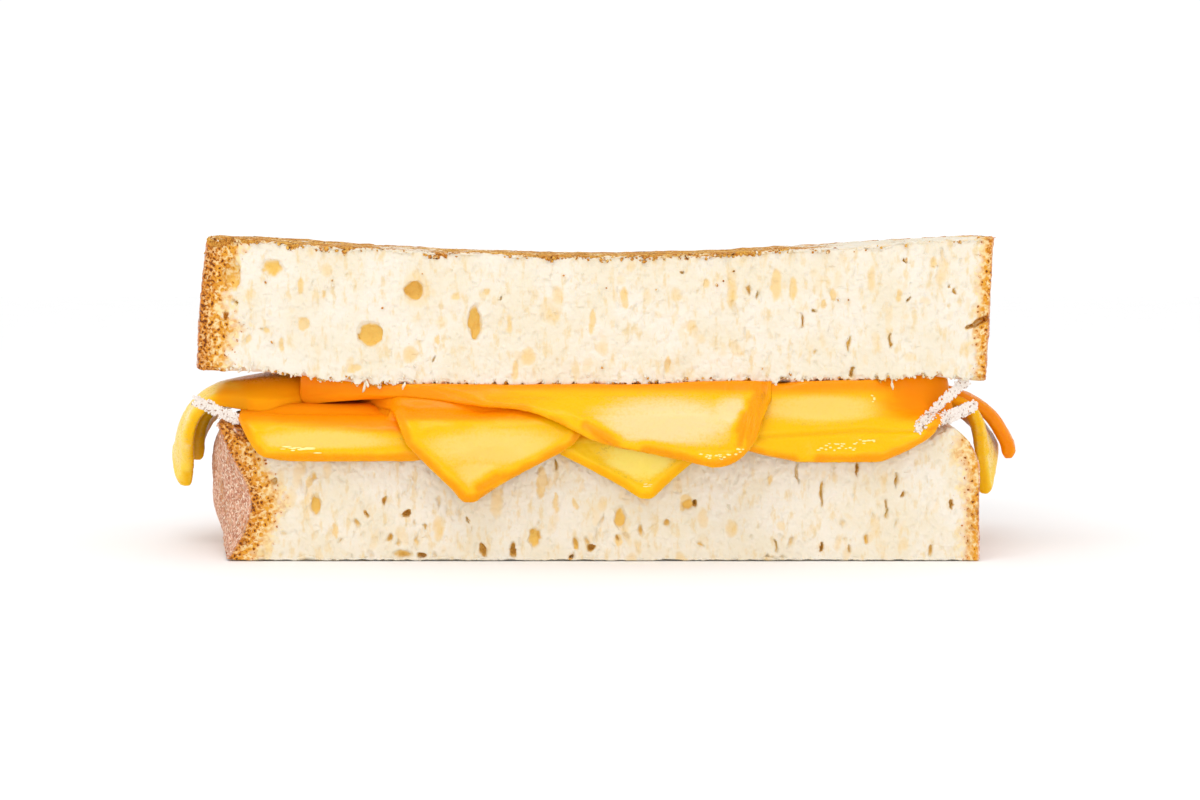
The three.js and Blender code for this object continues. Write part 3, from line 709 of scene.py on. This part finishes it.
def cheese_slice(node_name, finish, reach, seed, pale_sheen_patches, shaded):
    """One slice: softened solid with a thick rim, stuck to what lies over it."""
    piece = copy_of(node_name, "melted_" + node_name)
    rim = rim_of(piece)
    apply_modifier(piece, "SUBSURF", levels=SMOOTHING, render_levels=SMOOTHING)
    points = points_of(piece)
    normals = normals_of(piece)
    across = points[:, 0] - MIDDLE
    behind = points[:, 1] - CUT_FACE
    from_rim = np.array([rim.find(point)[2] for point in points])
    over_end = ease(57.5, 59.5, abs(across))
    hanging = np.maximum(ease(-0.6, 1.2, -behind), over_end)

    # a bead along the rim, a slack sheet inside it, and small blisters
    bead = 0.22 * np.exp(-((from_rim - 0.9) / 0.8) ** 2) - 0.2 * np.exp(-((from_rim - 3.2) / 1.6) ** 2)
    slack = 0.18 * unevenness(points, 5.5, seed) + 0.05 * unevenness(points, 1.7, seed + 1)
    blisters = 0.05 * ease(0.2, 0.7, unevenness(points, 0.8, seed + 2))
    moved = points + normals * (hanging * (bead + slack * 0.6 + blisters))[:, None]

    # its upper face sticks to what is close over it
    gap = ceiling_over(points) - points[:, 2]
    sticks = (1 - ease(0.6 * reach, reach, gap)) * (1 - ease(0.0, 1.8, -behind))
    sticks *= ease(0.1, 0.5, normals[:, 2]) * ease(-16, -8, -behind) * (1 - over_end)
    moved[:, 2] += sticks * np.clip(gap + PRESSED_IN, 0, reach)
    press_together(node_name, moved, across, behind, normals, over_end)
    if node_name == "cheese_right_square":
        # it is two slices melted into one: their seam runs across its face
        seam = SEAM_HEIGHT + 0.035 * (across - 22) + 0.15 * unevenness(points, 5.0, seed + 4)
        moved += normals * (-0.35 * hanging * np.exp(-((points[:, 2] - seam) / 0.35) ** 2))[:, None]
    put_points(piece, moved)
    overhead.append(BVHTree.FromPolygons([tuple(point) for point in moved],
                                         [tuple(face.vertices) for face in piece.data.polygons]))

    # what the finish reads: distance from the rim, paler patches with painted sheen, the part inside, deep
    # shade
    pale_sheen = np.zeros(len(points))
    for centre, height, half_width, half_height in pale_sheen_patches:
        off = np.hypot((across - centre) / half_width, (moved[:, 2] - height) / half_height)
        pale_sheen = np.maximum(pale_sheen, 1 - ease(0.3, 1.35, off))
    border = np.where(over_end > 0.5, 0.5 * from_rim + 0.9, from_rim)
    inside = ease(-1.5, 4.0, behind) * (1 - over_end) * ease(0, 2, 27 - moved[:, 2])
    put_values(piece, "rim", from_rim)
    # painted sheen: kept off the rim and painted only where the slice faces the front, towards the lamps
    put_values(piece, "pale_sheen", pale_sheen * ease(0.7, 2.2, border) * ease(-0.2, 0.5, 0.4 - normals[:, 1]))
    put_values(piece, "inside", inside)
    put_values(piece, "shade", shaded(across, moved[:, 2]))
    bpy.ops.object.shade_smooth()
    piece.data.materials.append(finish)
    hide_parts(node_name)
    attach(piece, "root")
    return piece


# colour of the darker specks where the painted sheen breaks up at its fringe
SHEEN_FRINGE_SPECKS = (0.62, 0.38, 0.01)


def cheese_finish(name, face, edge, body, shade):
    """Melted cheese: a darker edge, the body colour inside it, a paler middle with painted sheen where it
    hangs.
    """
    material, tree, surface = new_material(name, {
        "Specular IOR Level": 0.08, "Coat Roughness": 0.12, "Subsurface Weight": 0.4,
        "Subsurface Radius": (1.0, 0.6, 0.05), "Subsurface Scale": 2.4 * MM})
    rim, pale_sheen, inside, shaded = (value_of(tree, value) for value in ("rim", "pale_sheen", "inside", "shade"))
    drift = noise(tree, 260, 3)
    fine = noise(tree, 2200, 4)
    streaks = noise(tree, 300, 4, 0.6, (0.15, 1, 2.6))
    color = mixed(tree, between(tree, stirred(tree, rim, drift, 1.6), 0.2, 1.3), edge, body)
    # the paler patches of painted sheen come out streaky and speckled
    loose = stirred(tree, stirred(tree, pale_sheen, streaks, 0.7), fine, 0.7)
    painted_sheen = combined(tree, "MULTIPLY", between(tree, loose, 0.1, 0.95), between(tree, pale_sheen, 0.0, 0.3))
    color = mixed(tree, painted_sheen, color, face)
    # darker specks where the painted sheen breaks up, only at the fringe of the paler patches
    sheen_specks = combined(tree, "MULTIPLY", between(tree, fine, 0.57, 0.64, 0.0, 0.6),
                     between(tree, pale_sheen, 0.0, 0.2))
    sheen_specks = combined(tree, "MULTIPLY", sheen_specks, between(tree, pale_sheen, 0.75, 0.3))
    color = mixed(tree, sheen_specks, color, SHEEN_FRINGE_SPECKS)
    # the part inside the sandwich and the part under its edge are in the shade
    deep = between(tree, stirred(tree, shaded, streaks, 0.6), 0.1, 0.9)
    deep = combined(tree, "MULTIPLY", deep, between(tree, shaded, 0.0, 0.2))
    color = mixed(tree, combined(tree, "MAXIMUM", inside, deep), color, shade)
    tree.links.new(color, surface.inputs["Base Color"])
    roughness = combined(tree, "ADD", between(tree, fine, 0.3, 0.7, 0.22, 0.36),
                         combined(tree, "MULTIPLY", inside, 0.4))
    tree.links.new(roughness, surface.inputs["Roughness"])
    tree.links.new(between(tree, inside, 0.0, 0.5, 0.12, 0.0), surface.inputs["Coat Weight"])
    height = combined(tree, "ADD", combined(tree, "MULTIPLY", fine, 0.4), streaks)
    add_bumps(tree, surface, height, 0.18, 0.3 * MM)
    return material


# each finish is a copy of one cheese; its face colour is the painted sheen, paler on the top slice
DARK_EDGE = (0.80, 0.31, 0.001)
EGG_YELLOW = (0.84, 0.46, 0.002)
ORANGE_SHADE = (0.90, 0.27, 0.001)
yellow_cheese = cheese_finish("yellow_cheese", (0.84, 0.55, 0.12), DARK_EDGE, EGG_YELLOW, ORANGE_SHADE)
cream_cheese = cheese_finish("cream_cheese", (0.84, 0.59, 0.27), DARK_EDGE, EGG_YELLOW, ORANGE_SHADE)
# lightened copies: they paint light into the middle corner and the drapes at the ends, which lie in the
# shade
shade_lightened_cheese = cheese_finish("shade_lightened_cheese", face=(0.88, 0.70, 0.14), edge=(0.84, 0.40, 0.001),
                              body=(0.86, 0.54, 0.003), shade=(0.90, 0.30, 0.001))
orange_cheese = cheese_finish("orange_cheese", face=(0.82, 0.46, 0.06), edge=(0.80, 0.24, 0.001),
                              body=(0.84, 0.32, 0.002), shade=(0.86, 0.24, 0.001))
shade_lightened_drape_cheese = cheese_finish("shade_lightened_drape_cheese", face=(0.88, 0.76, 0.48), edge=(0.86, 0.48, 0.004),
                            body=(0.88, 0.58, 0.05), shade=(0.90, 0.34, 0.001))

# each slice, from the top down: its finish, how far it reaches up to stick to what lies over it,
# its seed, the patches painted paler with sheen (across, height, half width, half height), and
# where it is painted with the deep shade of the bread
slices = {
    "cheese_top_slice": dict(
        finish=cream_cheese, reach=2.8, seed=59,
        pale_sheen_patches=((10.5, 21.6, 12.5, 4.0), (21.0, 23.0, 5.0, 2.5)),
        shaded=lambda x, z: np.maximum(ease(24.6, 27.4, z), 0.8 * ease(2, -24, x))),
    "cheese_left_outer": dict(
        finish=shade_lightened_drape_cheese, reach=1.4, seed=56,
        pale_sheen_patches=((-62.5, 17.5, 2.2, 6.0), (-60.0, 22.5, 2.5, 1.8)),
        shaded=lambda x, z: ease(-60, -52, x) * ease(20, 22, z)),
    "cheese_right_outer": dict(
        finish=orange_cheese, reach=2.0, seed=58, pale_sheen_patches=((61.5, 24.2, 1.6, 0.8),),
        shaded=lambda x, z: 0.4 + 0 * z),
    "cheese_left_inner": dict(
        finish=shade_lightened_drape_cheese, reach=1.0, seed=55, pale_sheen_patches=((-60.0, 17.5, 3.0, 6.5),),
        shaded=lambda x, z: ease(23, 27, z)),
    "cheese_right_inner": dict(
        finish=shade_lightened_drape_cheese, reach=1.0, seed=57, pale_sheen_patches=((60.0, 18.0, 3.5, 8.0),),
        shaded=lambda x, z: 0 * z),
    "cheese_front_corner": dict(
        finish=yellow_cheese, reach=1.2, seed=54,
        pale_sheen_patches=((-14.5, 17.6, 12.5, 3.4), (-17.0, 13.8, 4.5, 2.6)),
        shaded=lambda x, z: ease(20.6, 22.6, z) * ease(8, -18, x)),
    "cheese_right_square": dict(
        finish=yellow_cheese, reach=5.0, seed=53, pale_sheen_patches=((34.0, 23.2, 9.5, 2.3),),
        shaded=lambda x, z: np.maximum(ease(24.0, 27.4, z), ease(38, 50, x) * ease(19.5, 23.5, z))),
    "cheese_left_square": dict(
        finish=yellow_cheese, reach=1.2, seed=52, pale_sheen_patches=((-41.5, 18.4, 12.0, 2.0),),
        shaded=lambda x, z: np.maximum(ease(-1.6, 1.2, z - 21.6 + 0.07 * (x + 54)),
                                       0.6 * ease(-50, -54, x))),
    "cheese_middle_corner": dict(
        finish=shade_lightened_cheese, reach=1.2, seed=51, pale_sheen_patches=((7.0, 15.6, 7.0, 3.6),),
        shaded=lambda x, z: ease(17.6, 20.0, z)),
}
melted = []
for node_name, settings in slices.items():
    melted.append(tree_of(cheese_slice(node_name, **settings).data))

# ---- Crumbs, torn bread and oil ----
# Sawing the sandwich in half tore shreds off the crumb: they hang from the cut edge of the upper
# slice and lie on the cheese at both ends. Beads and runs of oil shine on the cheese corners.

IN_FRONT = -60.0  # before the whole sandwich
BETWEEN_SLICES = 20.0  # a height between the slices of bread
OVER_ALL = 60.0  # above the whole sandwich
LOOSE_CRUMBS = 300  # how many places are tried for crumbs of the torn edge
TOASTED_CRUMBS = 900  # for fried crumbs along the upper edge
SCORCHED_CRUMBS = 420  # and for scorched ones along the lower edge


def nearest_in_front(x, z, trees):
    """Where a straight look at the cut first meets any of the pieces."""
    hits = [tree.ray_cast((x, IN_FRONT, z), (0, 1, 0)) for tree in trees]
    hits = [hit for hit in hits if hit[0] is not None]
    return min(hits, key=lambda hit: hit[0].y) if hits else None


def ball(subdivisions):
    """Points and faces of a ball with a radius of one."""
    bpy.ops.mesh.primitive_ico_sphere_add(subdivisions=subdivisions, radius=MM)
    made = bpy.context.active_object
    points, faces = points_of(made), [tuple(face.vertices) for face in made.data.polygons]
    bpy.data.objects.remove(made)
    return points, faces


ROUGH_BALL, SMOOTH_BALL = ball(2), ball(3)


def blob(place, sizes, turn, rng, smooth=False):
    """A crumb, or a smooth drop: a ball pushed out of shape, as points and faces."""
    points, faces = SMOOTH_BALL if smooth else ROUGH_BALL
    swell = 0 if smooth else 0.28 * rng.uniform(-1, 1, len(points))[:, None]
    points = points * (1 + swell) * sizes
    return points @ np.array(turn).T + np.array(place), faces


def gathered(name, parts, finish, slot_name, browned=0.0):
    """Many small lumps as one mesh of their own."""
    points, faces = [], []
    for part_points, part_faces in parts:
        start = sum(len(block) for block in points)
        points.append(part_points)
        faces += [tuple(index + start for index in face) for face in part_faces]
    mesh = bpy.data.meshes.new(name)
    low, high = (np.array(corner) / MM for corner in cad_box)
    mesh.from_pydata((np.clip(np.concatenate(points), low, high) * MM).tolist(), [], faces)
    mesh.update()
    piece = bpy.data.objects.new(name, mesh)
    bpy.context.scene.collection.objects.link(piece)
    if slot_name == "bread":
        for value in BREAD_VALUES:
            put_values(piece, value, np.full(len(mesh.vertices), browned if value == "toast" else 0.0))
    bpy.ops.object.select_all(action="DESELECT")
    piece.select_set(True)
    bpy.context.view_layer.objects.active = piece
    bpy.ops.object.shade_smooth()
    mesh.materials.append(finish)
    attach(piece, "root")


def any_turn(rng, spread=math.pi):
    """A random turn, by up to spread about each axis."""
    return Euler(rng.uniform(-spread, spread, 3)).to_matrix()


rng = np.random.default_rng(71)
upper_tree = tree_of(upper_bread.data)
crumbs = []
for _ in range(LOOSE_CRUMBS):
    x = rng.uniform(-57, 58) + MIDDLE
    y = CUT_FACE + rng.uniform(0.1, 1.0)
    edge = upper_tree.ray_cast((x, y, BETWEEN_SLICES), (0, 0, 1))[0]
    if edge is None:
        continue
    size = rng.uniform(0.09, 0.22)
    long = size * rng.uniform(1.0, 1.8)
    place = (x, y - rng.uniform(0, 0.3), edge.z - long * rng.uniform(-0.2, 0.8))
    crumbs.append(blob(place, (size, size, long), any_turn(rng, 0.5), rng))
# a few shreds hang down over the cheese: across, height and half length of each
for across, height, long in ((-34.9, 26.4, 0.8), (-34.4, 26.9, 0.6), (-28.9, 26.7, 0.7), (44.6, 26.7, 0.6)):
    place = (across + MIDDLE, CUT_FACE - 0.4, height)
    crumbs.append(blob(place, (0.2, 0.2, long), any_turn(rng, 0.35), rng))
gathered("loose_crumbs", crumbs, bread_material, "bread")

# the fried face breaks into toasted crumbs along the cut
toasted_crumbs = []
for _ in range(TOASTED_CRUMBS):
    x = rng.uniform(-59, 59) + MIDDLE
    clumped = max(math.exp(-((x - MIDDLE - clump) / 1.1) ** 2) for clump in BROWN_CLUMPS)
    uneven = 0.35 * math.sin(1.3 * x) * math.sin(0.37 * x)
    wanted = max(clumped, 0.9 * upper_toasting(np.array([x]))[0] + uneven)
    if rng.random() > wanted:
        continue
    y = CUT_FACE + rng.uniform(0.2, 1.6)
    edge = upper_tree.ray_cast((x, y, OVER_ALL), (0, 0, -1))[0]
    if edge is None:
        continue
    size = rng.uniform(0.12, 0.3) * (1 + 0.5 * clumped)
    place = (x, y - rng.uniform(0, 0.3), edge.z - size * rng.uniform(-0.1, 1.6))
    toasted_crumbs.append(blob(place, (size, size, size * 0.8), any_turn(rng), rng))
# and its lower edge is scorched where the cheese sticks to it
for _ in range(SCORCHED_CRUMBS):
    x = rng.uniform(-51, 54) + MIDDLE
    y = CUT_FACE + rng.uniform(0.3, 1.2)
    edge = upper_tree.ray_cast((x, y, BETWEEN_SLICES), (0, 0, 1))[0]
    if edge is None or math.sin(0.9 * x) + math.sin(0.31 * x) < -0.9:
        continue
    size = rng.uniform(0.08, 0.17)
    place = (x, y - 0.2, edge.z - size * rng.uniform(0.0, 0.8))
    toasted_crumbs.append(blob(place, (size * 1.5, size, size), any_turn(rng), rng))
gathered("toasted_crumbs", toasted_crumbs, bread_material, "bread", browned=1.0)

SHREDS = (
    # two ends of a line (across, height), its width, how far it stands out and how many lumps
    ((-60.6, 24.3), (-54.3, 21.4), 1.5, 1.0, 900),
    ((56.2, 27.6), (48.2, 20.2), 1.3, 0.6, 900),
    ((57.4, 23.6), (52.2, 21.4), 1.8, 0.4, 500),
)
DEEPEST_SHRED = CUT_FACE + 1.5
shreds = []
under_shreds = [*melted, tree_of(lower_bread.data)]
for start, end, width, before, count in SHREDS:
    for _ in range(count):
        share = rng.random()
        x = start[0] + (end[0] - start[0]) * share + MIDDLE + 0.25 * rng.normal()
        z = start[1] + (end[1] - start[1]) * share + rng.uniform(-0.5, 0.5) * width
        met = nearest_in_front(x, z, under_shreds)
        depth = min(met[0].y, DEEPEST_SHRED) if met else DEEPEST_SHRED
        size = rng.uniform(0.1, 0.19)
        lying = (size, 0.5 * size, size * rng.uniform(1.0, 1.7))
        place = (x, depth - rng.uniform(0.0, 0.2) * before, z)
        shreds.append(blob(place, lying, any_turn(rng, 0.6), rng))


def torn_finish():
    """Torn crumb, whiter than the cut face, with brown specks."""
    material, tree, surface = new_material("torn_crumb", {"Roughness": 0.9, "Specular IOR Level": 0.15})
    specks = noise(tree, 1500, 2)
    white = mixed(tree, noise(tree, 400), (0.82, 0.74, 0.71), (0.84, 0.77, 0.68))
    speckled = mixed(tree, between(tree, specks, 0.58, 0.66), white, (0.40, 0.24, 0.16))
    tree.links.new(speckled, surface.inputs["Base Color"])
    return material


gathered("torn_shreds", shreds, torn_finish(), "bread")

OIL = (
    # across, height, width and height of the patch, drops, how long and how thick they are
    (-44.3, 17.3, 5.5, 0.7, 16, 1.5, 0.16), (-41.0, 16.5, 4.0, 0.5, 9, 1.2, 0.14),
    (-9.0, 15.5, 3.0, 0.8, 13, 0.7, 0.15), (11.0, 13.2, 3.0, 0.9, 11, 0.9, 0.17),
    (8.0, 11.9, 2.0, 0.5, 6, 0.8, 0.17), (17.5, 16.5, 4.5, 0.8, 22, 0.45, 0.2),
    (22.0, 17.3, 3.0, 0.8, 14, 0.3, 0.2), (36.0, 17.6, 6.0, 1.0, 20, 0.4, 0.18),
    (40.5, 18.4, 3.0, 0.6, 10, 0.4, 0.18), (41.9, 24.6, 0.8, 1.3, 5, 0.2, 0.2),
)
drops = []
for across, height, wide, tall, count, long, thick in OIL:
    for _ in range(count):
        x = across + MIDDLE + rng.uniform(-0.5, 0.5) * wide
        z = height + rng.uniform(-0.5, 0.5) * tall
        met = nearest_in_front(x, z, melted)
        # oil stays where the cheese faces forward and a little up
        if met is None or met[1].y > -0.5 or met[1].z < 0.08:
            continue
        level = (Vector((1, 0, 0)) - met[1] * met[1].x).normalized()
        turn = np.column_stack([level, met[1].cross(level), met[1]])
        thin = thick * rng.uniform(0.4, 0.8)
        sizes = (thin + 0.5 * long * rng.uniform(0.3, 1.0), thin, thin * 0.6)
        drops.append(blob(met[0], sizes, turn, rng, smooth=True))


def oil_finish():
    """Clear yellow oil with a wet shine."""
    return new_material("cheese_oil", {
        "Base Color": (0.95, 0.74, 0.22, 1), "Roughness": 0.12, "Specular IOR Level": 0.6,
        "Coat Weight": 1.0, "Coat Roughness": 0.03})[0]


gathered("oil_drops", drops, oil_finish(), "cheese")

# ---- The table and the light ----
# A plain white table in a white room. Two wide soft lamps light the sandwich, one from above and
# before it and one from straight in front.

TABLE_SIZE = 3  # metres
ROOM_LIGHT = 1.05
bpy.ops.mesh.primitive_plane_add(size=TABLE_SIZE, location=(0, 0, 0))
table = bpy.context.active_object
table.name = "table"
table_material, table_tree, table_surface = new_material("white_table", {"Roughness": 0.8})
table_color = mixed(table_tree, noise(table_tree, 40, 2), (0.93, 0.93, 0.93), (0.96, 0.96, 0.96))
table_tree.links.new(table_color, table_surface.inputs["Base Color"])
table.data.materials.append(table_material)

world = bpy.data.worlds.new("white_room")
world.use_nodes = True
background = world.node_tree.nodes["Background"]
background.inputs["Color"].default_value = (1, 1, 1, 1)
background.inputs["Strength"].default_value = ROOM_LIGHT
bpy.context.scene.world = world


def lamp(name, place, size, power):
    """A rectangular lamp turned to the sandwich: place and size in metres, power in watts."""
    light = bpy.data.lights.new(name, "AREA")
    light.shape = "RECTANGLE"
    light.size, light.size_y = size
    light.energy = power
    holder = bpy.data.objects.new(name, light)
    holder.location = place
    holder.rotation_euler = (holder.location - LAMP_AIM).to_track_quat("Z", "Y").to_euler()
    bpy.context.scene.collection.objects.link(holder)


LAMP_AIM = Vector((0, -0.02, 0.02))
lamp("overhead_lamp", (-0.10, -0.28, 0.45), (0.30, 0.12), 0.5)
lamp("front_lamp", (0.02, -0.60, 0.09), (0.60, 0.12), 0.6)

# ---- The camera ----
# It stands square to the cut, some 40 centimetres away. It is level with the top of the sandwich
# and looks down a little, at the middle of the cheese.

VIEW_WIDTH = 180.45  # what the picture takes in at the cut face
DISTANCE = 380.0
CAMERA_HEIGHT = 50.0
AIM_HEIGHT = 24.5
CAMERA_X = MIDDLE + 0.6
SENSOR_WIDTH = 36
camera = bpy.data.objects.new("camera", bpy.data.cameras.new("camera"))
camera.data.sensor_width = SENSOR_WIDTH
camera.data.lens = SENSOR_WIDTH * DISTANCE / VIEW_WIDTH
camera.location = (CAMERA_X * MM, (CUT_FACE - DISTANCE) * MM, CAMERA_HEIGHT * MM)
camera.rotation_euler = (math.pi / 2 - math.atan2(CAMERA_HEIGHT - AIM_HEIGHT, DISTANCE), 0, 0)
bpy.context.scene.collection.objects.link(camera)
bpy.context.scene.camera = camera
bpy.context.scene.view_settings.view_transform = "Standard"
